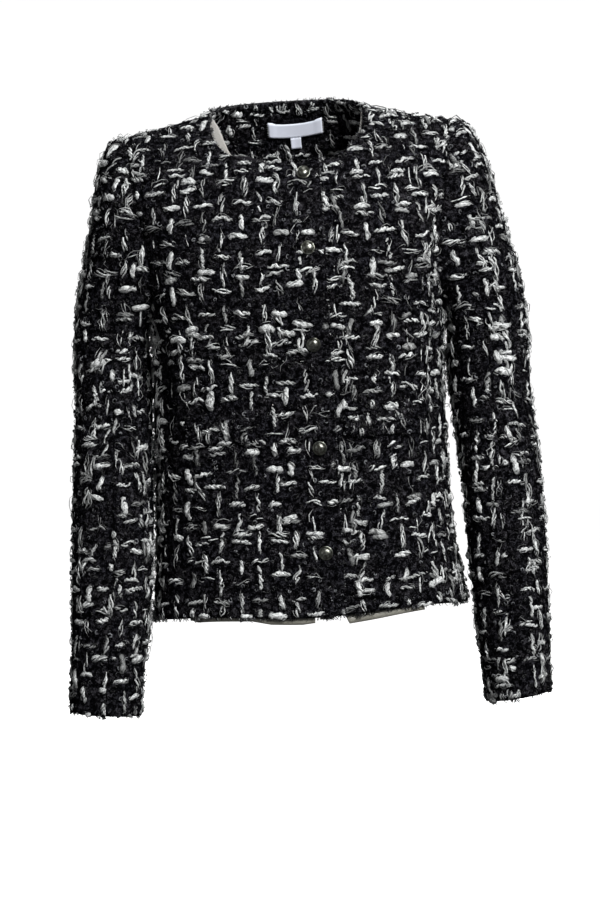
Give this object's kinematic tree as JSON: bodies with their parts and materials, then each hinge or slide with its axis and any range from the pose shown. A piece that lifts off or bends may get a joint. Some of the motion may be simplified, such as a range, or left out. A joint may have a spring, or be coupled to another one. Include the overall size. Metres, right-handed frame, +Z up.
{
  "type": "cropped tweed jacket",
  "caption": "Collarless cropped tweed jacket with long two-piece sleeves, lapped front closed by domed snaps, waist welts and open neck, hem and cuffs.",
  "frame": {"origin": "midway between the two side neck points, where the wearer's shoulders carry the jacket", "axes": "+Z up, the front faces -Y, +X towards the wearer's left"},
  "size_m": [0.4875, 0.2258, 0.6231],
  "materials": {
    "tweed": "rough",
    "hem_satin": "satin",
    "neck_strip": "matte",
    "neck_band": "matte",
    "label_cloth": "matte",
    "snap_metal": "polished gunmetal"
  },
  "bodies": {
    "root": {"back": "tweed", "front_left": "tweed", "front_right": "tweed", "hem_satin_left": "hem_satin", "hem_satin_right": "hem_satin", "label": "label_cloth", "neck_band_left": "neck_band", "neck_band_right": "neck_band", "neck_facing_back": "tweed", "neck_strip_left": "neck_strip", "neck_strip_right": "neck_strip", "pocket_welt_left": "tweed", "pocket_welt_right": "tweed", "size_tab": "label_cloth", "sleeve_under_left": "tweed", "sleeve_under_right": "tweed", "sleeve_upper_left": "tweed", "sleeve_upper_right": "tweed", "snap_1": "snap_metal", "snap_2": "snap_metal", "snap_3": "snap_metal", "snap_4": "snap_metal", "snap_5": "snap_metal"}
  },
  "joints": []
}
